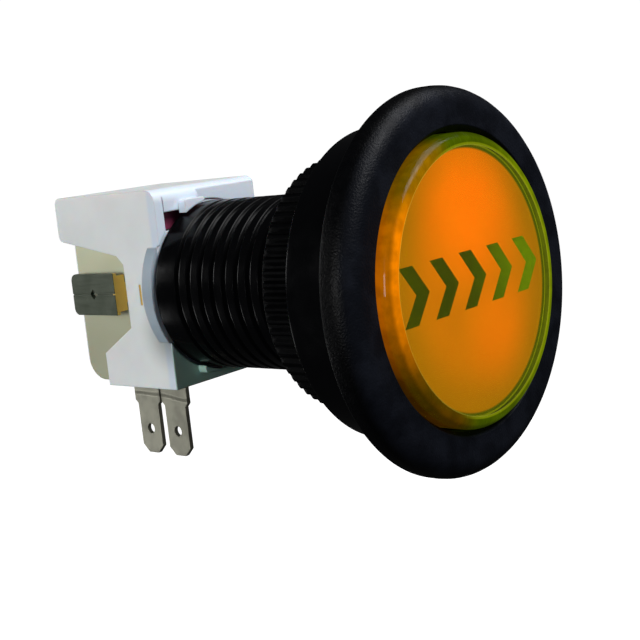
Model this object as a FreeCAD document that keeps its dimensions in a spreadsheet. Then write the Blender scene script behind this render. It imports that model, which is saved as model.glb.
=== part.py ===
import FreeCAD, Part
import math
import os
import Sketcher

# Illuminated push button for a control panel.
# Millimetres. The button's axis is Y: the lens looks along -Y, the lamp holder is at +Y and +Z is up.
# The origin is the centre of the panel seat, which is the skirt's rear face.

os.makedirs("parts", exist_ok=True)
doc = FreeCAD.newDocument("push_button")
sheet = doc.addObject("Spreadsheet::Sheet", "Sizes")


# Sizes and formulas

class Length:
    """A number that remembers the sheet formula it comes from, so that a feature can be bound to it."""

    def __init__(self, value, formula):
        self.value = float(value)
        self.formula = formula

    def __add__(self, other):
        other = as_length(other)
        return Length(self.value + other.value, f"({self.formula} + {other.formula})")

    def __sub__(self, other):
        other = as_length(other)
        return Length(self.value - other.value, f"({self.formula} - {other.formula})")

    def __mul__(self, factor):
        factor = as_length(factor)
        return Length(self.value * factor.value, f"({self.formula} * {factor.formula})")

    def __neg__(self):
        return self * -1


def as_length(number):
    """A plain number as a Length; a Length as it is."""
    if isinstance(number, Length):
        return number
    return Length(number, f"({number})")


row_count = 0


def size(name, value):
    """Write one driving dimension into the sheet and give it back as a Length."""
    global row_count
    row_count += 1
    sheet.set(f"A{row_count}", name)
    sheet.set(f"B{row_count}", str(value))
    sheet.setAlias(f"B{row_count}", name)
    return Length(value, f"Sizes.{name}")


# How far a cutting outline reaches past what it cuts
overshoot = size("overshoot", 1)

# Lens and what sets the housing's width
lens_radius = size("lens_radius", 20.8)
lens_gap = size("lens_gap", 0.35)
skirt_wall = size("skirt_wall", 1.85)
bezel_overhang = size("bezel_overhang", 4.75)
skirt_radius = lens_radius + lens_gap + skirt_wall
bezel_radius = skirt_radius + bezel_overhang

# Bezel, skirt and barrel
thread_radius = size("thread_radius", 14)
bezel_front = size("bezel_front", -14.6)
bezel_back = size("bezel_back", -9.8)
bezel_rounding = size("bezel_rounding", 3)
bezel_bevel = size("bezel_bevel", 0.5)
lip_bevel = size("lip_bevel", 0.9)
skirt_draft = size("skirt_draft", 0.4)
cup_floor = size("cup_floor", -1.9)
bore_radius = size("bore_radius", 11.5)
relief_radius = size("relief_radius", 12.3)
relief_front = size("relief_front", 12)
relief_rear = size("relief_rear", 33.4)
barrel_end = size("barrel_end", 36.8)
barrel_chamfer = size("barrel_chamfer", 0.8)
thread_pitch = size("thread_pitch", 2.6)
thread_depth = size("thread_depth", 0.6)
thread_start = size("thread_start", 1.35)
thread_end = size("thread_end", 34.6)
groove_root_half_width = size("groove_root_half_width", 0.2)
groove_mouth_half_width = size("groove_mouth_half_width", 0.5)
bayonet_radius = size("bayonet_radius", 12.6)
bayonet_front = size("bayonet_front", 34.4)
bayonet_rear = size("bayonet_rear", 36)
bayonet_way_half_width = size("bayonet_way_half_width", 2.6)
bayonet_way_margin = size("bayonet_way_margin", 0.1)
twist_angle = size("twist_angle", 30)

# Panel nut
nut_front = size("nut_front", 2.2)
nut_rear = size("nut_rear", 8.85)
nut_radius = size("nut_radius", 19.3)
nut_tooth_depth = size("nut_tooth_depth", 0.55)
nut_tooth_count = size("nut_tooth_count", 70)
tooth_foot_half_width = size("tooth_foot_half_width", 0.62)
tooth_crest_half_width = size("tooth_crest_half_width", 0.3)
nut_bevel = size("nut_bevel", 0.7)
tooth_setback = size("tooth_setback", 0.2)
thread_clearance = size("thread_clearance", 0.08)

# Lens, its inserts, carrier and spring
lens_front = size("lens_front", -16.1)
lens_rounding = size("lens_rounding", 1.5)
lens_wall = size("lens_wall", 1.6)
film_front = size("film_front", -14.1)
film_thickness = size("film_thickness", 0.3)
diffuser_thickness = size("diffuser_thickness", 1.4)
flange_front = size("flange_front", -10.5)
flange_rear = size("flange_rear", -9.3)
tube_inner_radius = size("tube_inner_radius", 9.6)
tube_clearance = size("tube_clearance", 0.08)
tube_end = size("tube_end", 31)
spring_radius = size("spring_radius", 14.6)
wire_radius = size("wire_radius", 0.6)
spring_half_turns = size("spring_half_turns", 5)
flange_step = size("flange_step", 0.2)
ledge_width = size("ledge_width", 1.4)
barb_play = size("barb_play", 0.25)
barb_length = size("barb_length", 2)
barb_half_width = size("barb_half_width", 2)
barb_clearance = size("barb_clearance", 0.3)
barb_root_depth = size("barb_root_depth", 0.6)

# Lamp holder
holder_front = size("holder_front", 36.3)
holder_rear = size("holder_rear", 62.4)
holder_half_width = size("holder_half_width", 12)
holder_top = size("holder_top", 17.2)
holder_bottom = size("holder_bottom", -15.7)
block_bottom = size("block_bottom", 9.2)
holder_wall = size("holder_wall", 1.6)
recess_depth = size("recess_depth", 3.2)
cavity_half_width = holder_half_width - recess_depth - holder_wall
recess_front = size("recess_front", 45.9)
recess_top_front = size("recess_top_front", 6.6)
recess_top_rear = size("recess_top_rear", 9.6)
recess_corner_height = size("recess_corner_height", -5.6)
recess_heel = size("recess_heel", 53.5)
recess_heel_height = size("recess_heel_height", -10.1)
collar_radius = size("collar_radius", 14.4)
collar_front = size("collar_front", 36.9)
collar_rear = size("collar_rear", 39.2)
lobe_half_height = size("lobe_half_height", 8)
lobe_half_width = size("lobe_half_width", 6)
ear_inner = size("ear_inner", 2.2)
ear_outer = size("ear_outer", 6.7)
ear_root = size("ear_root", 10.5)
upper_ear_height = size("upper_ear_height", 14.95)
lower_ear_height = size("lower_ear_height", 14.1)
ear_front = size("ear_front", 34.6)
plug_radius = size("plug_radius", 11.35)
plug_wall = size("plug_wall", 2.2)
plug_front = size("plug_front", 34.3)
post_front = size("post_front", 24)
post_radius = size("post_radius", 7.5)
socket_radius = size("socket_radius", 5.4)
cavity_front = size("cavity_front", 40)
chamber_floor = size("chamber_floor", 0.8)
recess_bevel = size("recess_bevel", 1.5)
ear_rounding = size("ear_rounding", 0.6)
edge_rounding = size("edge_rounding", 1.2)
front_rounding = size("front_rounding", 2.2)
wall_setback = size("wall_setback", 0.4)
wall_step = size("wall_step", 2.1)
seam_width = size("seam_width", 0.16)
seam_cut = size("seam_cut", 0.2)
heel_rounding = size("heel_rounding", 4)
foot_thickness = size("foot_thickness", 4.7)
cover_thickness = size("cover_thickness", 1.6)
cover_ledge = size("cover_ledge", 0.5)
lug_half_width = size("lug_half_width", 2)
lug_reach = size("lug_reach", 12.15)
lug_play = size("lug_play", 0.2)

# Switch
plunger_inset = size("plunger_inset", 2)
plunger_half_width = holder_half_width - plunger_inset
plunger_bottom = size("plunger_bottom", 10.35)
plunger_top = size("plunger_top", 13.1)
plunger_front = size("plunger_front", 37.95)
plunger_rear = size("plunger_rear", 40.7)
nose_half_width = size("nose_half_width", 2.4)
nose_bottom = size("nose_bottom", 9.6)
nose_top = size("nose_top", 10.9)
finger_half_height = size("finger_half_height", 0.5)
finger_gap = size("finger_gap", 0.1)
slot_clearance = size("slot_clearance", 0.2)
sheet_thickness = size("sheet_thickness", 0.8)
terminal_plane = size("terminal_plane", -4)
blade_width = size("blade_width", 5.2)
blade_tip = size("blade_tip", -29.6)
blade_shoulder = size("blade_shoulder", -20.9)
blade_hole_height = size("blade_hole_height", -25.3)
blade_hole_radius = size("blade_hole_radius", 0.9)
common_centre = size("common_centre", 46.1)
open_centre = size("open_centre", 53.1)
tip_bevel = size("tip_bevel", 1.4)
shoulder_step = size("shoulder_step", 0.65)
riser_half_width = size("riser_half_width", 2.2)
riser_top = size("riser_top", 14.4)
arm_front = size("arm_front", 52.6)
arm_half_height = size("arm_half_height", 1.8)
arm_clearance = size("arm_clearance", 0.2)
arm_reach = holder_half_width - holder_wall - arm_clearance
blade_play = size("blade_play", 0.05)
contact_inset = size("contact_inset", 1.5)
contact_place = arm_reach - contact_inset
finger_inset = size("finger_inset", 0.7)
finger_width = size("finger_width", 1.5)
finger_outer = contact_place - finger_inset
finger_inner = finger_outer - finger_width
contact_radius = size("contact_radius", 1.2)
contact_height = size("contact_height", 0.6)
contact_level = size("contact_level", 12.6)
blade_front = size("blade_front", 46.98)
blade_thickness = size("blade_thickness", 0.25)

# Lamp and its contacts
lamp_radius = size("lamp_radius", 5)
lamp_front = size("lamp_front", 9)
lamp_neck = size("lamp_neck", 28)
lamp_rear = size("lamp_rear", 38)
wedge_half_thickness = size("wedge_half_thickness", 1.2)
wedge_half_height = size("wedge_half_height", 3.6)
lead_thickness = size("lead_thickness", 0.4)
lead_gap = size("lead_gap", 2)
lead_start = lamp_neck + lead_gap
lead_lap = size("lead_lap", 1)
finger_start = lead_start + lead_lap
lamp_dome = size("lamp_dome", 4)
strip_thickness = size("strip_thickness", 0.5)
strip_front = size("strip_front", 42.15)
strip_end_inset = size("strip_end_inset", 0.05)
branch_clearance = size("branch_clearance", 0.3)
branch_plane = cavity_half_width - branch_clearance - strip_thickness
strip_half_width = size("strip_half_width", 1.7)
tab_half_width = size("tab_half_width", 3.6)
tab_front = size("tab_front", 49.6)
tab_rear = size("tab_rear", 61)
tab_inset = size("tab_inset", 0.4)
tab_thickness = size("tab_thickness", 0.8)
tab_plane = holder_half_width - tab_inset - tab_thickness * 0.5
tab_rounding = size("tab_rounding", 1.2)
root_step = size("root_step", 0.5)
root_inset = size("root_inset", 0.3)
seam_depth = size("seam_depth", 0.15)
seam_half_width = size("seam_half_width", 0.12)
diamond_reach = size("diamond_reach", 0.9)

doc.recompute()


# Drawing helpers


def new_body(name):
    """A body for one sub-part."""
    return doc.addObject("PartDesign::Body", name)


def new_sketch(body, name, plane, offset):
    """A sketch on one of the body's origin planes, moved along the plane's normal by offset."""
    sketch = body.newObject("Sketcher::SketchObject", name)
    support = [part for part in body.Origin.OriginFeatures if part.Role == plane][0]
    sketch.AttachmentSupport = (support, [""])
    sketch.MapMode = "FlatFace"
    sketch.setExpression("AttachmentOffset.Base.z", as_length(offset).formula)
    return sketch


def bind_last(sketch, formula):
    """Bind the sketch's newest constraint to a sheet formula."""
    sketch.setExpression(f"Constraints[{sketch.ConstraintCount - 1}]", formula)


def pin_point(sketch, line, end, place):
    """Hold one end of a line at a place given by two Lengths."""
    axis_lines = (-2, -1)
    kinds = ("DistanceX", "DistanceY")
    for kind, axis_line, distance in zip(kinds, axis_lines, place):
        if distance.value == 0:
            sketch.addConstraint(Sketcher.Constraint("PointOnObject", line, end, axis_line))
        else:
            sketch.addConstraint(Sketcher.Constraint(kind, -1, 1, line, end, distance.value))
            bind_last(sketch, distance.formula)


def draw_polygon(sketch, corners):
    """Draw a closed outline whose corners are bound to the sheet."""
    places = [(as_length(across), as_length(along)) for across, along in corners]
    first = sketch.GeometryCount
    points = [FreeCAD.Vector(across.value, along.value, 0) for across, along in places]
    for index, point in enumerate(points):
        sketch.addGeometry(Part.LineSegment(point, points[(index + 1) % len(points)]), False)
    for index, place in enumerate(places):
        following = (index + 1) % len(places)
        sketch.addConstraint(Sketcher.Constraint("Coincident", first + index, 2, first + following, 1))
        pin_point(sketch, first + index, 1, place)


def draw_circle(sketch, centre, radius):
    """Draw a circle whose centre and radius are bound to the sheet."""
    centre = [as_length(number) for number in centre]
    middle = FreeCAD.Vector(centre[0].value, centre[1].value, 0)
    index = sketch.addGeometry(Part.Circle(middle, FreeCAD.Vector(0, 0, 1), radius.value), False)
    pin_point(sketch, index, 3, centre)
    sketch.addConstraint(Sketcher.Constraint("Radius", index, radius.value))
    bind_last(sketch, radius.formula)


def box_corners(low, high):
    """The four corners of a rectangle between two opposite corners."""
    return [low, (high[0], low[1]), high, (low[0], high[1])]


def turn(body, name, corners):
    """Turn an outline of (radius, Y) corners once round the Y axis."""
    sketch = new_sketch(body, name + "_outline", "XY_Plane", 0)
    draw_polygon(sketch, corners)
    feature = body.newObject("PartDesign::Revolution", name)
    feature.Profile = sketch
    feature.ReferenceAxis = (sketch, ["V_Axis"])
    feature.Angle = 360
    doc.recompute()
    return feature


def extrude(body, name, plane, start, end, kind, outlines, circles):
    """Add or remove the space between two planes that lies inside the outlines."""
    start = as_length(start)
    end = as_length(end)
    adding = kind == "PartDesign::Pad"
    if plane == "XZ_Plane":
        offset = -end if adding else -start
    else:
        offset = start if adding else end
    sketch = new_sketch(body, name + "_outline", plane, offset)
    for corners in outlines:
        draw_polygon(sketch, corners)
    for centre, radius in circles:
        draw_circle(sketch, centre, radius)
    feature = body.newObject(kind, name)
    feature.Profile = sketch
    feature.setExpression("Length", (end - start).formula)
    feature.Refine = False
    doc.recompute()
    return feature


def pad(body, name, plane, start, end, outlines=(), circles=()):
    """Add a prism between two planes."""
    return extrude(body, name, plane, start, end, "PartDesign::Pad", outlines, circles)


def cut(body, name, plane, start, end, outlines=(), circles=()):
    """Remove a prism between two planes."""
    return extrude(body, name, plane, start, end, "PartDesign::Pocket", outlines, circles)


def soften(body, name, radius, chosen):
    """Round the edges of the body's tip for which chosen(edge) is true."""
    base = body.Tip
    edges = [f"Edge{index + 1}" for index, edge in enumerate(base.Shape.Edges) if chosen(edge)]
    feature = body.newObject("PartDesign::Fillet", name)
    feature.Base = (base, edges)
    feature.setExpression("Radius", as_length(radius).formula)
    doc.recompute()
    return feature


def is_ring(radius, along):
    """A test for a full round edge of this radius at this Y."""
    def test(edge):
        if edge.Curve.TypeId != "Part::GeomCircle":
            return False
        near_radius = abs(edge.Curve.Radius - radius.value) < 0.01
        return near_radius and abs(edge.Curve.Center.y - along.value) < 0.01
    return test


def is_straight_at(direction, places):
    """A test for straight edges along a direction whose middle is at one of the places across it."""
    def test(edge):
        if edge.Curve.TypeId != "Part::GeomLine":
            return False
        if abs(abs(getattr(edge.Curve.Direction, direction)) - 1) > 0.001:
            return False
        middle = edge.CenterOfMass
        others = [axis for axis in "xyz" if axis != direction]
        return any(
            abs(getattr(middle, others[0]) - first.value) < 0.01
            and abs(getattr(middle, others[1]) - second.value) < 0.01
            for first, second in places
        )
    return test


# Bezel housing: rim, skirt and barrel in one moulding

def build_bezel_housing():
    body = new_body("bezel_housing")
    lip_radius = lens_radius + lens_gap
    turn(body, "housing_wall", [
        (lip_radius, bezel_front + lip_bevel),
        (lip_radius + lip_bevel, bezel_front),
        (bezel_radius, bezel_front),
        (bezel_radius, bezel_back - bezel_bevel),
        (bezel_radius - bezel_bevel, bezel_back),
        (skirt_radius + skirt_draft, bezel_back),
        (skirt_radius, 0),
        (thread_radius, 0),
        (thread_radius, barrel_end - barrel_chamfer),
        (thread_radius - barrel_chamfer, barrel_end),
        (bore_radius, barrel_end),
        (bore_radius, bayonet_rear),
        (bayonet_radius, bayonet_rear),
        (bayonet_radius, bayonet_front),
        (bore_radius, bayonet_front),
        (bore_radius, relief_rear),
        (relief_radius, relief_rear),
        (relief_radius, relief_front),
        (bore_radius, relief_front),
        (bore_radius, cup_floor),
        (lip_radius, cup_floor),
    ])
    soften(body, "rim_rounding", bezel_rounding, is_ring(bezel_radius, bezel_front))
    cut_thread(body)
    # the two ways in for the holder's bayonet lugs, a twist away from the locked place
    reach = bayonet_radius - bayonet_way_margin
    way_front = bayonet_rear - bayonet_way_margin
    slots = cut(body, "bayonet_ways", "XZ_Plane", way_front, barrel_end + overshoot, [
        box_corners((-reach, -bayonet_way_half_width), (reach, bayonet_way_half_width)),
    ])
    slots.Profile[0].setExpression("AttachmentOffset.Rotation.Angle", "-" + twist_angle.formula)
    doc.recompute()
    return body


def cut_thread(body):
    """The barrel's thread: a narrow groove wound round it, which leaves wide flat crests."""
    sketch = new_sketch(body, "thread_groove_outline", "XY_Plane", 0)
    root = thread_radius - thread_depth
    # the flanks run on past the crest by as much as the groove is deep
    beyond = thread_radius + thread_depth
    flare = groove_mouth_half_width * 2 - groove_root_half_width
    draw_polygon(sketch, [
        (root, thread_start - groove_root_half_width),
        (beyond, thread_start - flare),
        (beyond, thread_start + flare),
        (root, thread_start + groove_root_half_width),
    ])
    groove = body.newObject("PartDesign::SubtractiveHelix", "thread_groove")
    groove.Profile = sketch
    groove.ReferenceAxis = (sketch, ["V_Axis"])
    groove.Mode = "pitch-height-angle"
    groove.setExpression("Pitch", thread_pitch.formula)
    groove.setExpression("Height", (thread_end - thread_start).formula)
    groove.Refine = False
    doc.recompute()


# Panel nut with a serrated rim

def build_panel_nut():
    body = new_body("panel_nut")
    root_radius = nut_radius - nut_tooth_depth
    inner = thread_radius + thread_clearance
    turn(body, "nut_ring", [
        (inner, nut_front),
        (root_radius, nut_front),
        (root_radius, nut_rear - nut_bevel),
        (root_radius - nut_bevel, nut_rear),
        (inner + nut_bevel, nut_rear),
        (inner, nut_rear - nut_bevel),
    ])
    foot_radius = root_radius - nut_tooth_depth * 0.2
    tooth = pad(body, "nut_tooth", "XZ_Plane", nut_front, nut_rear - nut_bevel - tooth_setback, [[
        (-tooth_foot_half_width, foot_radius),
        (tooth_foot_half_width, foot_radius),
        (tooth_crest_half_width, nut_radius),
        (-tooth_crest_half_width, nut_radius),
    ]])
    body.Tip = tooth
    teeth = body.newObject("PartDesign::PolarPattern", "nut_teeth")
    teeth.Originals = [tooth]
    teeth.Axis = (tooth.Profile[0], ["N_Axis"])
    teeth.Angle = 360
    teeth.setExpression("Occurrences", nut_tooth_count.formula)
    body.Tip = teeth
    doc.recompute()
    return body


# Lens, printed film, diffuser and the carrier that slides in the barrel

def build_lens_cap():
    body = new_body("lens_cap")
    inside = lens_radius - lens_wall
    turn(body, "lens_shell", [
        (0, lens_front),
        (lens_radius, lens_front),
        (lens_radius, flange_front),
        (inside, flange_front),
        (inside, film_front),
        (0, film_front),
    ])
    soften(body, "lens_rim", lens_rounding, is_ring(lens_radius, lens_front))
    return body


def build_disc(name, radius, front, thickness):
    """A plain round disc on the axis."""
    body = new_body(name)
    turn(body, name + "_disc", box_corners((0, front), (radius, front + thickness)))
    return body


def build_lens_carrier():
    body = new_body("lens_carrier")
    tube_radius = bore_radius - tube_clearance
    seat = film_front + film_thickness + diffuser_thickness
    seat_radius = lens_radius - lens_wall
    flange_radius = lens_radius - flange_step
    barb_front = relief_front + barb_play
    turn(body, "carrier_wall", [
        (tube_inner_radius, flange_front),
        (seat_radius - ledge_width, flange_front),
        (seat_radius - ledge_width, seat),
        (seat_radius, seat),
        (seat_radius, flange_front),
        (flange_radius, flange_front),
        (flange_radius, flange_rear),
        (tube_radius, flange_rear),
        (tube_radius, tube_end),
        (tube_inner_radius, tube_end),
    ])
    # two barbs behind the bore's step keep the carrier from falling out of the front
    barb_reach = relief_radius - barb_clearance
    barb_root = tube_radius - barb_root_depth
    pad(body, "carrier_barbs", "XZ_Plane", barb_front, barb_front + barb_length, [
        box_corners((barb_root, -barb_half_width), (barb_reach, barb_half_width)),
        box_corners((-barb_reach, -barb_half_width), (-barb_root, barb_half_width)),
    ])
    return body


def build_return_spring():
    """A coil of half turns, each a half ring tilted so that its end meets the next one's start."""
    lowest = flange_rear + wire_radius
    highest = cup_floor - wire_radius
    half_turns = int(spring_half_turns.value)
    rise = (highest.value - lowest.value) / half_turns
    tilt = math.degrees(math.asin(rise / (2 * spring_radius.value)))
    rings = []
    for index in range(half_turns):
        ring = doc.addObject("Part::Torus", f"spring_half_turn_{index + 1}")
        ring.setExpression("Radius1", spring_radius.formula)
        ring.setExpression("Radius2", wire_radius.formula)
        ring.Angle3 = 180
        side = 1 if index % 2 == 0 else -1
        lean = FreeCAD.Rotation(FreeCAD.Vector(0, 0, 1), side * tilt)
        lay_flat = FreeCAD.Rotation(FreeCAD.Vector(1, 0, 0), side * 90)
        place = FreeCAD.Vector(0, lowest.value + rise * (index + 0.5), 0)
        ring.Placement = FreeCAD.Placement(place, lean * lay_flat)
        rings.append(ring)
    coil = doc.addObject("Part::MultiFuse", "return_spring")
    coil.Shapes = rings
    doc.recompute()
    return coil


# Lamp holder: one white moulding with collar, ears, plug, lamp post and a hollow block

def cavity_outline(margin):
    """The T-shaped outline of the hollow seen from behind, made larger all round by margin."""
    wide = holder_half_width - holder_wall + margin
    narrow = cavity_half_width + margin
    top = holder_top - holder_wall + margin
    bottom = holder_bottom + foot_thickness - margin
    step = block_bottom + chamber_floor - margin
    return [
        (-wide, top), (-wide, step), (-narrow, step), (-narrow, bottom),
        (narrow, bottom), (narrow, step), (wide, step), (wide, top),
    ]


def recess_outline():
    """The side recess, seen from the side, in (Y, Z)."""
    beyond = holder_rear + overshoot
    below = holder_bottom - overshoot
    return [
        (recess_front, recess_top_front - recess_bevel),
        (recess_front + recess_bevel, recess_top_front),
        (holder_rear, recess_top_rear),
        (beyond, recess_top_rear),
        (beyond, below),
        (recess_heel, below),
        (recess_heel, recess_heel_height),
        (recess_front, recess_corner_height),
    ]


def build_lamp_holder():
    body = new_body("lamp_holder")
    turn(body, "collar_disc", box_corners((0, collar_front), (collar_radius, collar_rear)))
    outside = collar_radius + overshoot
    corners = []
    for side in (-1, 1):
        for level in (-1, 1):
            near = (lobe_half_width * side, lobe_half_height * level)
            far = (outside * side, outside * level)
            corners.append(box_corners(near, far))
    cut(body, "collar_corners", "XZ_Plane", collar_front - overshoot, collar_rear + overshoot, corners)
    pad(body, "block", "XZ_Plane", holder_front, holder_rear, [
        box_corners((-holder_half_width, holder_bottom), (holder_half_width, holder_top)),
    ])
    soften(body, "heel_rounding", heel_rounding, is_straight_at("x", [(holder_rear, holder_bottom)]))
    soften(body, "top_rounding", edge_rounding, is_straight_at("x", [(holder_rear, holder_top)]))
    soften(body, "front_rounding", front_rounding, is_straight_at("x", [(holder_front, holder_top)]))
    shape_front_wall(body)
    cut_side_recesses(body)
    cut_cavity(body)
    add_plug_and_post(body)
    cut_switch_ways(body)
    cut_contact_ways(body)
    return body


def shape_front_wall(body):
    """The front wall's step and seam, the two ears on it and the round seat for the barrel's end."""
    before = holder_front - overshoot
    above = holder_top + overshoot
    cut(body, "wall_setback", "XZ_Plane", before, holder_front + wall_setback, [
        box_corners((-wall_step, as_length(0)), (holder_half_width + overshoot, above)),
    ])
    seam_edge = -(plunger_half_width + slot_clearance)
    cut(body, "wall_seam", "XZ_Plane", before, holder_front + seam_cut, [
        box_corners((seam_edge, plunger_top), (seam_edge + seam_width, above)),
    ])
    ear_corners = []
    for name, root, end in (
        ("upper_ear", ear_root, upper_ear_height),
        ("lower_ear", -ear_root, -lower_ear_height),
    ):
        pad(body, name, "XZ_Plane", ear_front, holder_front, [
            box_corners((-ear_outer, root), (-ear_inner, end)),
        ])
        ear_corners += [(-ear_outer, end), (-ear_inner, end)]
    soften(body, "ear_rounding", ear_rounding, is_straight_at("y", ear_corners))
    seat_front = ear_front - overshoot
    cut(body, "barrel_seat", "XZ_Plane", seat_front, collar_front, circles=[((0, 0), collar_radius)])


def cut_side_recesses(body):
    """The hollows in both sides of the holder that make room for the tabs' connectors."""
    floor = holder_half_width - recess_depth
    cut(body, "left_recess", "YZ_Plane", -holder_half_width - overshoot, -floor, [recess_outline()])
    cut(body, "right_recess", "YZ_Plane", floor, holder_half_width + overshoot, [recess_outline()])
    soften(body, "block_heels", edge_rounding, is_straight_at("x", [(holder_rear, recess_top_rear)]))


def cut_cavity(body):
    """The hollow for switch and contacts, open at the back, with a ledge for the cover."""
    beyond = holder_rear + overshoot
    cut(body, "cavity", "XZ_Plane", cavity_front, beyond, [cavity_outline(0)])
    cut(body, "cover_seat", "XZ_Plane", holder_rear - cover_thickness, beyond, [cavity_outline(cover_ledge)])


def add_plug_and_post(body):
    """The bayonet plug that turns in the barrel, and the lamp's socket post."""
    plug_inner = plug_radius - plug_wall
    turn(body, "plug", box_corners((plug_inner, plug_front), (plug_radius, collar_front)))
    lugs = []
    for side in (-1, 1):
        lugs.append(box_corners((plug_inner * side, -lug_half_width), (lug_reach * side, lug_half_width)))
    pad(body, "bayonet_lugs", "XZ_Plane", bayonet_front + lug_play, bayonet_rear - lug_play, lugs)
    pad(body, "lamp_post", "XZ_Plane", post_front, cavity_front, circles=[((0, 0), post_radius)])
    cut(body, "lamp_socket", "XZ_Plane", post_front - overshoot, cavity_front + overshoot,
        circles=[((0, 0), socket_radius)])


def cut_switch_ways(body):
    """The openings in the front wall for the plunger, and in the foot for the switch's terminals."""
    half_width = plunger_half_width + slot_clearance
    cut(body, "plunger_way", "XZ_Plane", holder_front, cavity_front + overshoot, [
        box_corners(
            (-half_width, plunger_bottom - slot_clearance), (half_width, plunger_top + slot_clearance)),
    ])
    half_nose = nose_half_width + slot_clearance
    cut(body, "nose_way", "XZ_Plane", plug_front - overshoot, cavity_front + overshoot, [
        box_corners((-half_nose, nose_bottom - slot_clearance), (half_nose, plug_radius + slot_clearance)),
    ])
    half_sheet = sheet_thickness * 0.5
    foot_top = holder_bottom + foot_thickness
    ways = []
    for centre in (common_centre, open_centre):
        ways.append(box_corners(
            (terminal_plane - half_sheet, centre - riser_half_width),
            (terminal_plane + half_sheet, centre + riser_half_width),
        ))
    cut(body, "terminal_ways", "XY_Plane", holder_bottom - overshoot, foot_top + overshoot, ways)


def cut_contact_ways(body):
    """The slots in the side walls that hold the lamp contacts' strips."""
    inside = cavity_half_width - overshoot
    outside = holder_half_width + overshoot
    ways = []
    for side in (-1, 1):
        for front in (strip_front, tab_front):
            ways.append(box_corners((inside * side, front), (outside * side, front + strip_thickness)))
    cut(body, "strip_ways", "XY_Plane", -strip_half_width, strip_half_width, ways)


def build_rear_cover():
    body = new_body("rear_cover")
    front = holder_rear - cover_thickness
    pad(body, "cover_plate", "XZ_Plane", front, holder_rear, [cavity_outline(cover_ledge)])
    return body


# Switch: plunger, two terminals, moving blade and silver contacts

def build_switch_plunger():
    body = new_body("switch_plunger")
    pad(body, "plunger_bar", "XZ_Plane", plunger_front, plunger_rear, [
        box_corners((-plunger_half_width, plunger_bottom), (plunger_half_width, plunger_top)),
    ])
    pad(body, "plunger_nose", "XZ_Plane", tube_end + slot_clearance, plunger_front + overshoot, [
        box_corners((-nose_half_width, nose_bottom), (nose_half_width, nose_top)),
    ])
    pad(body, "plunger_finger", "XZ_Plane", plunger_rear - overshoot, blade_front - finger_gap, [
        box_corners(
            (finger_inner, contact_level - finger_half_height),
            (finger_outer, contact_level + finger_half_height)),
    ])
    return body


def blade_outline(centre):
    """A terminal sheet seen from the side in (Y, Z): tab, shoulder under the holder and riser inside it."""
    half_tab = blade_width * 0.5
    half_tip = half_tab - tip_bevel
    half_shoulder = half_tab + shoulder_step
    outline = []
    right_side = [
        (half_tip, blade_tip),
        (half_tab, blade_tip + tip_bevel),
        (half_tab, blade_shoulder),
        (half_shoulder, blade_shoulder + shoulder_step),
        (half_shoulder, holder_bottom),
        (riser_half_width, holder_bottom),
        (riser_half_width, riser_top),
    ]
    for across, height in right_side:
        outline.append((centre + across, height))
    for across, height in reversed(right_side):
        outline.append((centre - across, height))
    return outline


def build_terminal(name, centre):
    """One switch terminal cut from sheet, with the hole of a quick-connect tab."""
    body = new_body(name)
    low = terminal_plane - sheet_thickness * 0.5
    high = terminal_plane + sheet_thickness * 0.5
    pad(body, name + "_sheet", "YZ_Plane", low, high, [blade_outline(centre)])
    cut(body, name + "_hole", "YZ_Plane", low - overshoot, high + overshoot,
        circles=[((centre, blade_hole_height), blade_hole_radius)])
    return body


def build_open_terminal():
    """The terminal whose bent arm carries the fixed contact."""
    body = build_terminal("open_terminal", open_centre)
    pad(body, "open_arm", "XZ_Plane", arm_front, arm_front + sheet_thickness, [
        box_corners(
            (terminal_plane, contact_level - arm_half_height), (arm_reach, contact_level + arm_half_height)),
    ])
    return body


def build_contact_blade():
    body = new_body("contact_blade")
    root = terminal_plane + sheet_thickness * 0.5 + blade_play
    blade_half_height = arm_half_height - blade_play
    pad(body, "blade_strip", "XZ_Plane", blade_front, blade_front + blade_thickness, [
        box_corners(
            (root, contact_level - blade_half_height), (arm_reach, contact_level + blade_half_height)),
    ])
    return body


def build_contact(name, start, end):
    """A round silver contact between two planes across Y."""
    body = new_body(name)
    middle = (contact_place, contact_level)
    pad(body, name + "_button", "XZ_Plane", start, end, circles=[(middle, contact_radius)])
    return body


# Lamp with its leads, and the two brass contacts with folded tabs

def build_lamp_bulb():
    body = new_body("lamp_bulb")
    turn(body, "glass", box_corners((0, lamp_front), (lamp_radius, lamp_neck)))
    soften(body, "glass_dome", lamp_dome, is_ring(lamp_radius, lamp_front))
    pad(body, "wedge", "XZ_Plane", lamp_neck - overshoot, lamp_rear, [
        box_corners((-wedge_half_thickness, -wedge_half_height), (wedge_half_thickness, wedge_half_height)),
    ])
    return body


def build_lamp_lead(name, side):
    """A lead wire folded flat on one face of the lamp's wedge."""
    body = new_body(name)
    inner = wedge_half_thickness * side
    outer = (wedge_half_thickness + lead_thickness) * side
    pad(body, name + "_wire", "XY_Plane", -lead_thickness, lead_thickness, [
        box_corners((inner, lead_start), (outer, lamp_rear)),
    ])
    return body


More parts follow.
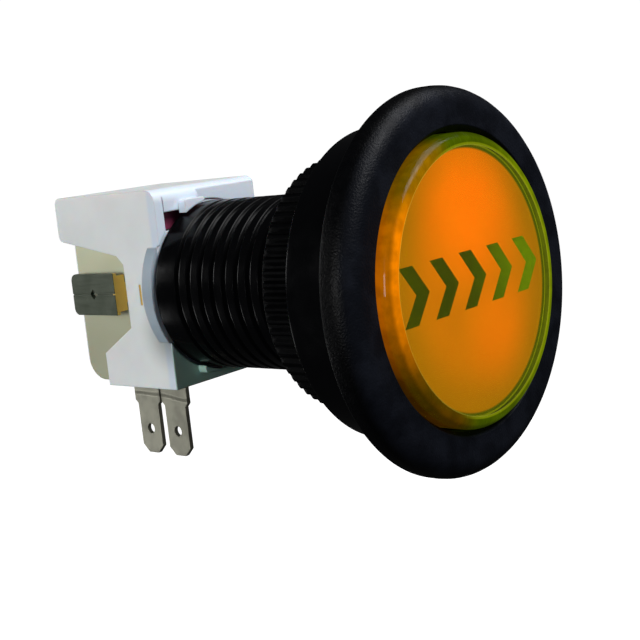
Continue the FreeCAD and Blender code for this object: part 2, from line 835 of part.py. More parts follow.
def build_lamp_contact(name, side):
    """A brass strip from the lamp's lead to a tab folded double beside the holder."""
    body = new_body(name)
    finger = wedge_half_thickness + lead_thickness
    branch = branch_plane + strip_thickness
    outer = tab_plane + tab_thickness * 0.5
    strip_end = holder_half_width - strip_end_inset
    strip_rear = strip_front + strip_thickness
    leg_rear = tab_front + strip_thickness
    pad(body, name + "_strip", "XY_Plane", -strip_half_width, strip_half_width, [[
        (finger * side, finger_start),
        ((finger + strip_thickness) * side, finger_start),
        ((finger + strip_thickness) * side, strip_front),
        (strip_end * side, strip_front),
        (strip_end * side, strip_rear),
        (branch * side, strip_rear),
        (branch * side, tab_front),
        (outer * side, tab_front),
        (outer * side, leg_rear),
        (branch_plane * side, leg_rear),
        (branch_plane * side, strip_rear),
        (finger * side, strip_rear),
    ]])
    root_half_width = tab_half_width - root_step
    root_start = holder_half_width - recess_depth + root_inset
    pad(body, name + "_leg", "XZ_Plane", tab_front, leg_rear, [
        box_corners((root_start * side, -root_half_width), (outer * side, root_half_width)),
    ])
    add_folded_tab(body, name, side)
    return body


def add_folded_tab(body, name, side):
    """The tab itself: two thicknesses of strip, a seam where the folded edges meet and a diamond hole."""
    face = tab_plane + tab_thickness * 0.5
    low, high = sorted_pair((face - tab_thickness) * side, face * side)
    pad(body, name + "_tab", "YZ_Plane", low, high, [
        box_corners((tab_front, -tab_half_width), (tab_rear, tab_half_width)),
    ])
    tab_corners = [(tab_rear, tab_half_width), (tab_rear, -tab_half_width)]
    soften(body, name + "_corners", tab_rounding, is_straight_at("x", tab_corners))
    seam_low, seam_high = sorted_pair((face - seam_depth) * side, (face + overshoot) * side)
    cut(body, name + "_seam", "YZ_Plane", seam_low, seam_high, [
        box_corners((tab_front, -seam_half_width), (tab_rear + overshoot, seam_half_width)),
    ])
    middle = (tab_front + tab_rear) * 0.5
    cut(body, name + "_diamond", "YZ_Plane", low - overshoot, high + overshoot, [[
        (middle - diamond_reach, as_length(0)),
        (middle, -diamond_reach),
        (middle + diamond_reach, as_length(0)),
        (middle, diamond_reach),
    ]])


def sorted_pair(first, second):
    """Two Lengths with the smaller one first."""
    return (first, second) if first.value <= second.value else (second, first)


# Build every piece, check it and write it

seat_radius = lens_radius - lens_wall
diffuser_front = film_front + film_thickness
blade_rear = blade_front + blade_thickness

bodies = [
    build_bezel_housing(),
    build_panel_nut(),
    build_lens_cap(),
    build_disc("legend_disc", seat_radius, film_front, film_thickness),
    build_disc("diffuser_disc", seat_radius, diffuser_front, diffuser_thickness),
    build_lens_carrier(),
    build_return_spring(),
    build_lamp_holder(),
    build_rear_cover(),
    build_switch_plunger(),
    build_terminal("common_terminal", common_centre),
    build_open_terminal(),
    build_contact_blade(),
    build_contact("moving_contact", blade_rear, blade_rear + contact_height),
    build_contact("fixed_contact", arm_front - contact_height, arm_front),
    build_lamp_bulb(),
    build_lamp_lead("lamp_lead_left", -1),
    build_lamp_lead("lamp_lead_right", 1),
    build_lamp_contact("lamp_contact_left", -1),
    build_lamp_contact("lamp_contact_right", 1),
]

doc.recompute()

for item in doc.Objects:
    faults = {"Invalid", "Error"} & set(item.State)
    if faults:
        raise RuntimeError(f"{item.Name} is {sorted(faults)}")

for body in bodies:
    shape = body.Shape
    if shape.isNull() or not shape.isValid() or len(shape.Solids) != 1:
        raise RuntimeError(f"{body.Name} is not one sound solid")
    shape.exportStep(f"parts/{body.Name}.step")
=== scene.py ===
"""Looks of the illuminated push button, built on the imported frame.

Everything is in metres in the frame's own axes: the button's axis is Y with the lens at -Y, and +Z is up.
"""
import logging
import math
from dataclasses import dataclass, field
from enum import Enum
from functools import reduce

import bpy
import numpy as np
from bpy.types import Material, Node, NodeSocket as Socket, Object
from mathutils import Matrix, Vector


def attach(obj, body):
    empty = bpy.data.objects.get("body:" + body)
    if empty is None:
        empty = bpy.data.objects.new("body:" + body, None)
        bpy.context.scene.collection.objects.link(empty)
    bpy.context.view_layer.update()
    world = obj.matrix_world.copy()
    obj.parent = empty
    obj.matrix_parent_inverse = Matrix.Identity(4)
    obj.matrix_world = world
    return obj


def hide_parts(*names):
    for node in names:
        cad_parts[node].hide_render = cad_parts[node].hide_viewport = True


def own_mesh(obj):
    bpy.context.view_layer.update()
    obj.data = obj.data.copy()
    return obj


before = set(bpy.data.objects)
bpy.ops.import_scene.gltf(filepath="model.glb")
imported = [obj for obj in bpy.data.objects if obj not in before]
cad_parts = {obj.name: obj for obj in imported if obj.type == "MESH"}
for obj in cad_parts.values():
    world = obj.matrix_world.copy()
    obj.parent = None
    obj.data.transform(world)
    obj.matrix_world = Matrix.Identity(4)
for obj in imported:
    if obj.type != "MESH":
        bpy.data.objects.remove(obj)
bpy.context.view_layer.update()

LOG = logging.getLogger("push_button")
MM = 0.001
SAME_PLACE = 1e-6
Colour = tuple[float, float, float]
Place = tuple[float, float, float]
Span = tuple[float, float]


class Body(str, Enum):
    """The rigid bodies of the frame that a new piece can ride on."""

    HOUSING = "housing"
    NUT = "nut"
    BUTTON = "button"


# Colour and node helpers


def linear(code: str) -> Colour:
    """Turn a screen colour such as #C07800 into linear light, by the standard screen curve.

    Args:
        code: six hexadecimal digits after a hash sign.

    Returns:
        Red, green and blue in linear light, 0 to 1.
    """
    straight_end, slope, offset, power = 0.04045, 12.92, 0.055, 2.4
    parts = np.array([int(code[i:i + 2], 16) for i in (1, 3, 5)]) / 255.0
    light = np.where(parts <= straight_end, parts / slope, ((parts + offset) / (1.0 + offset)) ** power)
    return tuple(float(part) for part in light)


def mm(*sizes: float) -> tuple[float, ...]:
    """Sizes in millimetres as metres."""
    return tuple(size * MM for size in sizes)


def scaled(colour: Colour, factor: float) -> Colour:
    """A colour times a factor."""
    return tuple(factor * part for part in colour)


@dataclass(frozen=True)
class Patches:
    """A smooth random field: features per metre, finer layers, its two ends and what they give."""

    scale: float
    detail: float = 2.0
    ends: Span = (0.3, 0.7)
    to: Span = (0.0, 1.0)
    stretch: Place = (1.0, 1.0, 1.0)


class NodeBench:
    """A workbench for one material's node tree."""

    def __init__(self, name: str) -> None:
        """Start a material with an empty tree but for its output and one shader.

        Args:
            name: the material's name.
        """
        self.material = bpy.data.materials.new(name)
        self.material.use_nodes = True
        self.tree = self.material.node_tree
        self.tree.nodes.clear()
        self.output = self.tree.nodes.new("ShaderNodeOutputMaterial")
        self.shader = self.tree.nodes.new("ShaderNodeBsdfPrincipled")
        self.join(self.shader.outputs["BSDF"], self.output.inputs["Surface"])
        self.place = self.add("TexCoord").outputs["Object"]

    def join(self, source: Socket, target: Socket) -> None:
        """Link one socket to another."""
        self.tree.links.new(source, target)

    def add(self, kind: str, settings: dict | None = None, **inputs: object) -> Node:
        """Add a node, set its properties, and set or link its inputs.

        Args:
            kind: the node's type name without its ShaderNode prefix.
            settings: properties of the node itself.
            inputs: input values or sockets, with _ for a space in the input's name.

        Returns:
            The new node.
        """
        node = self.tree.nodes.new("ShaderNode" + kind)
        for key, value in (settings or {}).items():
            setattr(node, key, value)
        for key, value in inputs.items():
            self.feed(node.inputs[key.replace("_", " ")], value)
        return node

    def feed(self, socket: Socket, value: object) -> None:
        """Link a socket's source, or set its value.

        Args:
            socket: the input to feed.
            value: another socket, a colour or a number.
        """
        if isinstance(value, Socket):
            self.join(value, socket)
        elif isinstance(value, tuple) and socket.type == "RGBA":
            socket.default_value = (*value, 1.0)
        else:
            socket.default_value = value

    def surface(self, **inputs: object) -> None:
        """Set or link inputs of the shader, with _ for a space in the input's name."""
        for key, value in inputs.items():
            self.feed(self.shader.inputs[key.replace("_", " ")], value)

    def axis(self, name: str) -> Socket:
        """One coordinate of the point's place, X, Y or Z, in metres."""
        return self.add("SeparateXYZ", Vector=self.place).outputs[name]

    def far(self, first: float = 0.0, second: float = 0.0, axes: str = "XZ") -> Socket:
        """Distance from a line across two axes, which is the button's own axis unless another is given.

        Args:
            first: the line's place on the first of the two axes.
            second: its place on the second.
            axes: the two axes that the distance is measured along.

        Returns:
            The distance, in metres.
        """
        squares = [
            self.math("POWER", self.math("SUBTRACT", self.axis(name), place), 2.0)
            for name, place in zip(axes, (first, second))
        ]
        return self.math("SQRT", self.math("ADD", *squares))

    def noise(self, patches: Patches) -> Socket:
        """Value of a smooth random field at the point's place, about 0.3 to 0.7."""
        spot = self.add("Mapping", Vector=self.place, Scale=patches.stretch).outputs["Vector"]
        return self.add("TexNoise", Vector=spot, Scale=patches.scale, Detail=patches.detail).outputs["Fac"]

    def spread(self, patches: Patches) -> Socket:
        """A random field carried from its two ends to what they give."""
        return self.ramp(self.noise(patches), *patches.ends, *patches.to)

    def ramp(self, value: Socket, low: float, high: float, start: float = 0.0, end: float = 1.0) -> Socket:
        """Carry a value smoothly from one range to another, held at both ends.

        Args:
            value: the value to carry.
            low: the value that gives start.
            high: the value that gives end.
            start: result at low.
            end: result at high.

        Returns:
            The carried value.
        """
        node = self.add("MapRange", {"interpolation_type": "SMOOTHSTEP"}, Value=value,
                        From_Min=low, From_Max=high, To_Min=start, To_Max=end)
        return node.outputs["Result"]

    def mix(self, share: object, first: object, second: object, blend: str = "MIX") -> Socket:
        """Blend two colours or values.

        Args:
            share: from 0, all first, to 1, all second.
            first: the first colour or value.
            second: the second.
            blend: how the second meets the first.

        Returns:
            The blended colour.
        """
        node = self.add("Mix", {"data_type": "RGBA", "blend_type": blend}, Factor=share)
        self.feed(node.inputs[6], first)
        self.feed(node.inputs[7], second)
        return node.outputs[2]

    def math(self, operation: str, first: object, second: object = 0.0) -> Socket:
        """One arithmetic step.

        Args:
            operation: the step's name.
            first: a number or a socket.
            second: another, where the step takes two.

        Returns:
            The result.
        """
        node = self.add("Math", {"operation": operation})
        self.feed(node.inputs[0], first)
        self.feed(node.inputs[1], second)
        return node.outputs["Value"]

    def product(self, *values: object) -> Socket:
        """Several values or sockets multiplied together."""
        return reduce(lambda first, second: self.math("MULTIPLY", first, second), values)

    def bump(self, height: Socket, depth: float, strength: float, normal: Socket | None = None) -> Socket:
        """Surface relief from a height field.

        Args:
            height: the field, 0 to 1.
            depth: height of 1 in metres.
            strength: share of the relief that is used.
            normal: a relief below this one.

        Returns:
            The normal socket.
        """
        node = self.add("Bump", Height=height, Distance=depth, Strength=strength)
        if normal is not None:
            self.join(normal, node.inputs["Normal"])
        return node.outputs["Normal"]

    def soft_edges(self, radius: float) -> Socket:
        """Normals that round every edge by a radius in metres."""
        return self.add("Bevel", {"samples": 6}, Radius=radius).outputs["Normal"]


# Finishes, each with its relief as a depth in metres and a strength


@dataclass(frozen=True)
class GrainedPlastic:
    """Moulded plastic with a fine grain, slight mottling and an uneven sheen."""

    name: str
    dark: Colour
    light: Colour
    rough: Span
    shine: float = 0.5
    edge: float = 0.0
    mottle: Patches = Patches(160.0, 4.0, (0.35, 0.65))
    sheen_scale: float = 420.0
    grain: Patches = Patches(5200.0)
    relief: Span = (0.06 * MM, 0.35)

    def material(self) -> Material:
        """Make the plastic.

        Returns:
            The finished material.
        """
        bench = NodeBench(self.name)
        bench.surface(Base_Color=bench.mix(bench.spread(self.mottle), self.dark, self.light))
        sheen = bench.spread(Patches(self.sheen_scale, to=self.rough))
        bench.surface(Roughness=sheen, Specular_IOR_Level=self.shine)
        below = bench.soft_edges(self.edge) if self.edge else None
        bench.surface(Normal=bench.bump(bench.noise(self.grain), *self.relief, below))
        return bench.material


@dataclass(frozen=True)
class HousingPlastic:
    """Black housing plastic: grained matte on the bezel, with painted shade towards its outer side, and
    smoother and glossier on skirt and barrel.
    """

    name: str = "housing_black"
    bezel: Colour = (0.0044, 0.0052, 0.0078)
    mottle_gain: float = 1.9
    # Painted shade: a darker black over the bezel's rounded rim and outer side.
    side: Colour = (0.0006, 0.0007, 0.001)
    barrel: Colour = (0.0014, 0.0015, 0.0018)
    side_shade_span: Span = mm(-14.3, -12.4)
    step: Span = mm(-9.7, -9.5)
    shine: float = 0.06
    mottle: Patches = Patches(240.0, 5.0, (0.38, 0.66))
    matte: Patches = Patches(900.0, to=(0.36, 0.46))
    gloss: Patches = Patches(300.0, 3.0, to=(0.16, 0.24))
    grain: Patches = Patches(3600.0)
    grain_share: Span = (1.0, 0.12)
    relief: Span = (0.16 * MM, 0.5)

    def material(self) -> Material:
        """Make the plastic, which changes over behind the bezel.

        Returns:
            The finished material.
        """
        bench = NodeBench(self.name)
        along = bench.axis("Y")
        behind = bench.ramp(along, *self.step)
        bezel = bench.mix(bench.spread(self.mottle), self.bezel, scaled(self.bezel, self.mottle_gain))
        # Painted shade: the bezel turns darker towards its outer side.
        bezel = bench.mix(bench.ramp(along, *self.side_shade_span), bezel, self.side)
        bench.surface(Base_Color=bench.mix(behind, bezel, self.barrel))
        rough = bench.mix(behind, bench.spread(self.matte), bench.spread(self.gloss))
        bench.surface(Roughness=rough, Specular_IOR_Level=self.shine)
        grain = bench.product(bench.noise(self.grain), bench.ramp(along, *self.step, *self.grain_share))
        bench.surface(Normal=bench.bump(grain, *self.relief))
        return bench.material


@dataclass(frozen=True)
class ClearLens:
    """Amber plastic: clear over the face, with an olive dye in the rim and a painted glow there, amber at
    the left and olive elsewhere.
    """

    name: str = "amber_clear"
    tint: Colour = (0.99, 0.92, 0.1)
    tint_fade: float = 0.96
    # Colours of the rim's painted glow; the olive also gives the rim's dye.
    low_amber: Colour = linear("#4A2B00")
    amber: Colour = linear("#E67800")
    high_amber: Colour = linear("#8C5C00")
    olive: Colour = linear("#3A4A00")
    olive_depth: float = 0.4
    bright_olive: Colour = linear("#667400")
    ring: Colour = linear("#8C9410")
    ring_share: float = 0.55
    right: Span = mm(2.08, 18.72)
    left: Span = mm(-3.12, -9.36)
    rise: Span = mm(-12.48, 2.08)
    high: Span = mm(8.32, 15.6)
    rim: Span = mm(18.8, 19.0)
    ring_in: Span = mm(18.9, 19.0)
    ring_out: Span = mm(19.35, 19.15)
    outer: Span = mm(19.9, 20.5)
    outer_shade: Span = (1.0, 0.45)
    cloud: Patches = Patches(130.0, 3.0)
    streaks: Patches = Patches(520.0, 3.0, to=(0.8, 1.2))
    wear: Patches = Patches(900.0, 2.0, (0.35, 0.65), (0.04, 0.3), (1.0, 1.0, 0.25))
    wear_share: Span = (0.2, 1.0)
    waves: Patches = Patches(90.0)
    relief: Span = (0.04 * MM, 0.2)
    shine: Span = (0.4, 0.02)
    clear: Span = (0.98, 0.15)
    index: float = 1.4

    def painted_rim_glow(self, bench: NodeBench, far: Socket) -> Socket:
        """Painted glow of the rim: olive, brighter to the right, amber at the left, with streaks, painted
        shade towards the outer edge and a painted highlight ring.

        Args:
            bench: the material's bench.
            far: distance from the button's axis.

        Returns:
            The colour socket.
        """
        across, up = bench.axis("X"), bench.axis("Z")
        left = bench.ramp(across, *self.left)
        amber = bench.mix(bench.ramp(up, *self.rise), self.low_amber, self.amber)
        amber = bench.mix(bench.ramp(up, *self.high), amber, self.high_amber)
        olive = bench.mix(bench.ramp(across, *self.right), self.olive, self.bright_olive)
        shade = bench.ramp(far, *self.outer, *self.outer_shade)
        shade = bench.product(shade, bench.spread(self.streaks))
        tone = bench.mix(1.0, bench.mix(left, olive, amber), shade, "MULTIPLY")
        # Painted highlight: a thin bright ring just inside the rim.
        inner, outer = bench.ramp(far, *self.ring_in), bench.ramp(far, *self.ring_out)
        ring = bench.product(inner, outer, self.ring_share)
        return bench.mix(ring, tone, bench.mix(left, self.ring, amber))

    def material(self) -> Material:
        """Make the lens plastic.

        Returns:
            The finished material.
        """
        bench = NodeBench(self.name)
        far = bench.far()
        rim_dye_and_glow = bench.ramp(far, *self.rim)
        tint = bench.mix(bench.spread(self.cloud), self.tint, scaled(self.tint, self.tint_fade))
        bench.surface(Base_Color=bench.mix(rim_dye_and_glow, tint, scaled(self.olive, self.olive_depth)))
        # Painted light: the rim gives off its painted glow.
        bench.surface(Emission_Color=self.painted_rim_glow(bench, far), Emission_Strength=rim_dye_and_glow)
        worn = bench.ramp(rim_dye_and_glow, 0.0, 1.0, *self.wear_share)
        bench.surface(Roughness=bench.product(bench.spread(self.wear), worn))
        bench.surface(Normal=bench.bump(bench.noise(self.waves), *self.relief))
        bench.surface(Specular_IOR_Level=bench.ramp(rim_dye_and_glow, 0.0, 1.0, *self.shine))
        bench.surface(Transmission_Weight=bench.ramp(far, *self.rim, *self.clear), IOR=self.index)
        return bench.material


@dataclass(frozen=True)
class LitFilm:
    """The film under the lens, lit from behind: dull amber with broad orange glows and an olive border.

    A glow is its place across, its place up and its reach.
    """

    name: str = "lit_film"
    base: Colour = (0.01, 0.006, 0.0)
    dull: Colour = linear("#A06A00")
    warm: Colour = linear("#C47000")
    glow: Colour = linear("#FF7800")
    border: Colour = linear("#3C4A00")
    strength: float = 1.19
    rough: float = 0.8
    dull_span: Span = mm(10.175, 18.5)
    border_span: Span = mm(18.3, 18.7)
    upper: Place = mm(0.5, 10.0, 16.0)
    lower: Place = mm(4.5, -7.5, 11.0)
    lower_share: float = 0.45
    core: float = 0.1
    cloud: Patches = Patches(260.0, 4.0, to=(0.92, 1.04))

    def spot(self, bench: NodeBench, across: float, up: float, reach: float) -> Socket:
        """A soft round patch of light, 1 at its middle and 0 beyond its reach."""
        return bench.ramp(bench.far(across, up), reach, self.core * reach)

    def material(self) -> Material:
        """Make the film, which gives off its own light.

        Returns:
            The finished material.
        """
        bench = NodeBench(self.name)
        far = bench.far()
        base = bench.mix(bench.ramp(far, *self.dull_span), self.warm, self.dull)
        low = bench.product(self.spot(bench, *self.lower), self.lower_share)
        glow = bench.math("MAXIMUM", self.spot(bench, *self.upper), low)
        glow = bench.product(glow, bench.spread(self.cloud))
        lit = bench.mix(bench.ramp(far, *self.border_span), bench.mix(glow, base, self.glow), self.border)
        bench.surface(Base_Color=self.base, Roughness=self.rough, Specular_IOR_Level=0.0)
        bench.surface(Emission_Color=lit, Emission_Strength=self.strength)
        return bench.material


@dataclass(frozen=True)
class PrintInk:
    """Dark green ink, lighter to the right where more light comes through."""

    name: str = "print_ink"
    base: Colour = (0.01, 0.014, 0.002)
    dark: Colour = linear("#283800")
    light: Colour = linear("#5A7C00")
    strength: float = 1.19
    rough: float = 0.8
    span: Span = mm(-3.4, 17.0)
    worn: Patches = Patches(1800.0, 3.0, to=(0.85, 1.1))

    def material(self) -> Material:
        """Make the ink.

        Returns:
            The finished material.
        """
        bench = NodeBench(self.name)
        ink = bench.mix(bench.ramp(bench.axis("X"), *self.span), self.dark, self.light)
        ink = bench.mix(1.0, ink, bench.spread(self.worn), "MULTIPLY")
        bench.surface(Base_Color=self.base, Roughness=self.rough, Specular_IOR_Level=0.0)
        bench.surface(Emission_Color=ink, Emission_Strength=self.strength)
        return bench.material


@dataclass(frozen=True)
class WhiteNylon:
    """Translucent white nylon.

    It is bluish in front, with painted shade on the lower front wall, on the collar's side lobes and in a
    patch on the sides beside the barrel, and yellowish painted shade in the recesses, darker towards the
    bottom.
    """

    name: str = "white_nylon"
    plain: Colour = linear("#E4E8E8")
    plain_fade: float = 0.94
    cool: Colour = linear("#D2DDEA")
    # Painted shade colours: the recesses at the top and at the bottom, the collar's side lobes, the patch
    # beside the barrel and the lower front wall.
    warm: Colour = linear("#C8CAAC")
    deep_shade: Colour = linear("#A4A68C")
    lobe_shade: Colour = linear("#94A4B0")
    dim: Colour = linear("#666E6A")
    shaded: Colour = linear("#9CBEB2")
    shade_span: Span = mm(-7.0, -10.0)
    lobe_shade_span: Span = mm(12.02, 12.2)
    wall_span: Span = mm(36.6, 36.4)
    collar_span: Span = mm(38.4, 37.6)
    dim_place: Span = mm(36.5, -6.5)
    dim_reach: float = 8.0 * MM
    dim_share: float = 0.85
    recess_floor: Span = mm(10.4, 8.9)
    recess_front: Span = mm(45.5, 45.9)
    recess_rear: Span = mm(62.35, 62.1)
    recess_top: Span = mm(10.6, 10.0)
    recess_height: Span = mm(-12.0, 10.0)
    edge: float = 0.35 * MM
    glow_share: float = 0.25
    glow_depth: float = 2.0 * MM
    cloud: Patches = Patches(110.0, 4.0, (0.32, 0.68))
    sheen: Patches = Patches(500.0, to=(0.34, 0.46))
    grain: Patches = Patches(2600.0)
    relief: Span = (0.04 * MM, 0.25)

    def material(self) -> Material:
        """Make the nylon.

        Returns:
            The finished material.
        """
        bench = NodeBench(self.name)
        sideways = bench.math("ABSOLUTE", bench.axis("X"))
        along, height = bench.axis("Y"), bench.axis("Z")
        wall = bench.ramp(along, *self.wall_span)
        # Painted shade: the front wall turns a darker green-grey towards the bottom.
        low = bench.mix(bench.ramp(height, *self.shade_span), self.cool, self.shaded)
        plain = bench.mix(bench.spread(self.cloud), self.plain, scaled(self.plain, self.plain_fade))
        shell = bench.mix(bench.ramp(along, *self.collar_span), plain, bench.mix(wall, self.cool, low))
        # Painted shade: a darker patch on the sides beside the barrel, behind the front wall.
        dim = bench.ramp(bench.far(*self.dim_place, "YZ"), self.dim_reach, 0.0, 0.0, self.dim_share)
        shell = bench.mix(bench.product(dim, bench.math("SUBTRACT", 1.0, wall)), shell, self.dim)
        # Painted shade: the collar's side lobes, beyond the holder's sides, are a darker blue-grey.
        shell = bench.mix(bench.ramp(sideways, *self.lobe_shade_span), shell, self.lobe_shade)
        # Painted shade in the recesses: yellowish, darker towards the bottom.
        hollow = bench.mix(bench.ramp(height, *self.recess_height), self.deep_shade, self.warm)
        recess = bench.product(
            bench.ramp(sideways, *self.recess_floor), bench.ramp(along, *self.recess_front),
            bench.ramp(along, *self.recess_rear), bench.ramp(height, *self.recess_top),
        )
        bench.surface(Base_Color=bench.mix(recess, shell, hollow), Roughness=bench.spread(self.sheen))
        bench.surface(Normal=bench.bump(bench.noise(self.grain), *self.relief, bench.soft_edges(self.edge)))
        bench.surface(Subsurface_Weight=self.glow_share, Subsurface_Scale=self.glow_depth)
        return bench.material


@dataclass(frozen=True)
class RolledMetal:
    """Sheet metal with fine rolling lines, dull patches, and, where given, a brighter gold on a tab's bent
    strip.
    """

    name: str
    bright: Colour
    dull: Colour
    rough: Span
    stretch: Place = (1.0, 1.0, 0.04)
    gold: Colour | None = None
    gold_end: Span = mm(50.2, 50.15)
    gold_face: Span = mm(11.5, 11.45)
    strip_end: Span = mm(46.0, 45.95)
    fold: Span | None = None
    fold_depth: float = 0.3 * MM
    fold_slant: float = 1.5 * MM
    metallic: float = 1.0
    edge: float = 0.12 * MM
    patch: Patches = Patches(330.0, 4.0, (0.34, 0.68))
    slant: Patches = Patches(120.0, 0.0)
    line_scale: float = 6000.0
    relief: Span = (0.01 * MM, 0.2)

    def gold_share(self, bench: NodeBench) -> Socket:
        """Where the bent strip is bright gold: its leg inside the tab's outer face, and all before the leg.

        Args:
            bench: the material's bench.

        Returns:
            1 on the bright gold and 0 elsewhere.
        """
        along = bench.axis("Y")
        sideways = bench.math("ABSOLUTE", bench.axis("X"))
        leg = bench.product(bench.ramp(along, *self.gold_end), bench.ramp(sideways, *self.gold_face))
        return bench.math("MAXIMUM", leg, bench.ramp(along, *self.strip_end))

    def material(self) -> Material:
        """Make the metal.

        Returns:
            The finished material.
        """
        bench = NodeBench(self.name)
        tone = bench.mix(bench.spread(self.patch), self.bright, self.dull)
        if self.gold is not None:
            # The bent strip is a brighter gold than the rest of the tab.
            tone = bench.mix(self.gold_share(bench), tone, self.gold)
        lines = Patches(self.line_scale, to=self.rough, stretch=self.stretch)
        bench.surface(Base_Color=tone, Metallic=self.metallic, Roughness=bench.spread(lines))
        below = bench.soft_edges(self.edge)
        if self.fold is not None:
            slant = bench.product(bench.noise(self.slant), self.fold_slant)
            step = bench.ramp(bench.math("ADD", bench.axis("Z"), slant), *self.fold)
            below = bench.bump(step, self.fold_depth, 1.0, below)
        bench.surface(Normal=bench.bump(bench.noise(lines), *self.relief, below))
        return bench.material


@dataclass(frozen=True)
class ClearGlass:
    """Thin lamp glass with a faint waviness."""

    name: str = "lamp_glass"
    light: Colour = (0.96, 0.96, 0.93)
    dark: Colour = (0.9, 0.92, 0.9)
    wave: Patches = Patches(200.0)
    sheen: Patches = Patches(200.0, to=(0.01, 0.04))
    relief: Span = (0.04 * MM, 0.2)
    clear: float = 0.95
    index: float = 1.5

    def material(self) -> Material:
        """Make the glass.

        Returns:
            The finished material.
        """
        bench = NodeBench(self.name)
        bench.surface(Base_Color=bench.mix(bench.spread(self.wave), self.light, self.dark))
        bench.surface(Roughness=bench.spread(self.sheen))
        bench.surface(Normal=bench.bump(bench.noise(self.wave), *self.relief))
        bench.surface(Transmission_Weight=self.clear, IOR=self.index)
        return bench.material


# Surface helpers


def rounded_profile(corners: list[Place], steps: int, longest: float, closed: bool = True) -> np.ndarray:
    """An outline whose corners are replaced by arcs, with even points on its long straight runs.

    A point is the complex number radius + i along. An arc touches both sides of its corner: seen from its
    centre, it starts where it leaves the first side and turns from there by even angles.

    Args:
        corners: radius, place along the axis and rounding of each corner, all in millimetres.
        steps: points on each arc.
        longest: the longest run to leave without further points, in millimetres.
        closed: whether the last corner joins the first.

    Returns:
        Points as rows of (radius, along), in metres.
    """
    spots = [complex(radius, along) for radius, along, _ in corners]
    pieces = []
    for index, (here, (_, _, rounding)) in enumerate(zip(spots, corners)):
        at_end = not closed and index in (0, len(spots) - 1)
        if at_end or rounding <= 0:
            pieces.append([here])
            continue
        back = spots[index - 1] - here
        ahead = spots[(index + 1) % len(spots)] - here
        back /= abs(back)
        ahead /= abs(ahead)
        half = 0.5 * abs(np.angle(ahead / back))
        centre = here + (back + ahead) / abs(back + ahead) * rounding / math.sin(half)
        first = here + back * rounding / math.tan(half) - centre
        last = here + ahead * rounding / math.tan(half) - centre
        pieces.append(centre + first * np.exp(1j * np.linspace(0.0, np.angle(last / first), steps)))
    if closed:
        pieces.append(pieces[0][:1])
    line = np.concatenate(pieces)
    runs = np.diff(line)
    parts = np.maximum(1, np.ceil(np.abs(runs) / longest)).astype(int)
    number = np.arange(parts.sum()) - np.repeat(np.cumsum(parts) - parts, parts)
    fine = np.repeat(line[:-1], parts) + np.repeat(runs / parts, parts) * number
    fine = fine if closed else np.append(fine, line[-1])
    return np.stack([fine.real, fine.imag], axis=1) * MM


def round_angles(columns: int) -> np.ndarray:
    """Even angles once round the axis, as one row."""
    return np.linspace(0.0, 2.0 * math.pi, columns, endpoint=False)[None, :]


def lathe(radius: np.ndarray, along: np.ndarray, angle: np.ndarray) -> np.ndarray:
    """Points of a turned surface: x = r cos a, y = place along the axis, z = r sin a.

    Args:
        radius: radius of each grid point.
        along: place along the axis of each grid point.
        angle: angle of each grid point.

    Returns:
        Points as a grid of (x, y, z).
    """
    radius, along, angle = np.broadcast_arrays(radius, along, angle)
    return np.stack([radius * np.cos(angle), along, radius * np.sin(angle)], axis=-1)


def grid_faces(rows: int, columns: int, rows_closed: bool) -> np.ndarray:
    """Quads of a grid whose columns close on themselves.

    Args:
        rows: points along the profile.
        columns: points round the axis.
        rows_closed: whether the last row joins the first.

    Returns:
        Four vertex numbers for each quad.
    """
    number = np.arange(rows * columns).reshape(rows, columns)
    ahead = np.roll(number, -1, axis=0) if rows_closed else number[1:]
    here = number if rows_closed else number[:-1]
    quads = [here, np.roll(here, -1, axis=1), np.roll(ahead, -1, axis=1), ahead]
    return np.stack(quads, axis=-1).reshape(-1, 4)


def make_piece(name: str, points: np.ndarray, faces: list[list[int]],
               sharp: float = 32.0) -> Object:
    """Put a closed surface into the scene as an object at the origin, with its faces outwards.

    The tetrahedra between the origin and the surface's triangles add up to the signed volume.

    Args:
        name: the piece's name.
        points: rows of (x, y, z) in metres.
        faces: vertex numbers of each face.
        sharp: edges that bend by more degrees than this stay sharp.

    Returns:
        The new object.
    """
    mesh = bpy.data.meshes.new(name)
    mesh.from_pydata(points.tolist(), [], faces)
    mesh.calc_loop_triangles()
    corners = np.empty(3 * len(mesh.loop_triangles), dtype=np.int32)
    mesh.loop_triangles.foreach_get("vertices", corners)
    first, second, third = (points[corners[start::3]] for start in range(3))
    if np.sum(first * np.cross(second, third)) < 0.0:
        mesh.flip_normals()
    mesh.shade_smooth()
    mesh.set_sharp_from_angle(angle=math.radians(sharp))
    mesh.update()
    piece = bpy.data.objects.new(name, mesh)
    bpy.context.scene.collection.objects.link(piece)
    LOG.info("%s has %d points", name, len(points))
    return piece


def turned_piece(name: str, profile: np.ndarray, columns: int) -> Object:
    """A closed turned piece whose profile starts and ends on the axis.

    Args:
        name: the piece's name.
        profile: rows of (radius, along), with radius 0 at both ends.
        columns: points round the axis.

    Returns:
        The new object.
    """
    body = profile[1:-1]
    grid = lathe(body[:, :1], body[:, 1:], round_angles(columns))
    rows = len(body)
    poles = np.array([[0.0, profile[0, 1], 0.0], [0.0, profile[-1, 1], 0.0]])
    points = np.concatenate([grid.reshape(-1, 3), poles])
    faces = grid_faces(rows, columns, False).tolist()
    ring = np.arange(columns)
    after = np.roll(ring, -1)
    first = np.stack([after, ring, np.full(columns, rows * columns)], axis=1)
    last_row = (rows - 1) * columns
    last = np.stack([last_row + ring, last_row + after, np.full(columns, rows * columns + 1)], axis=1)
    return make_piece(name, points, faces + first.tolist() + last.tolist())


def dress(piece: Object, material: Material) -> None:
    """Give an object one material all over."""
    piece.data.materials.clear()
    piece.data.materials.append(material)


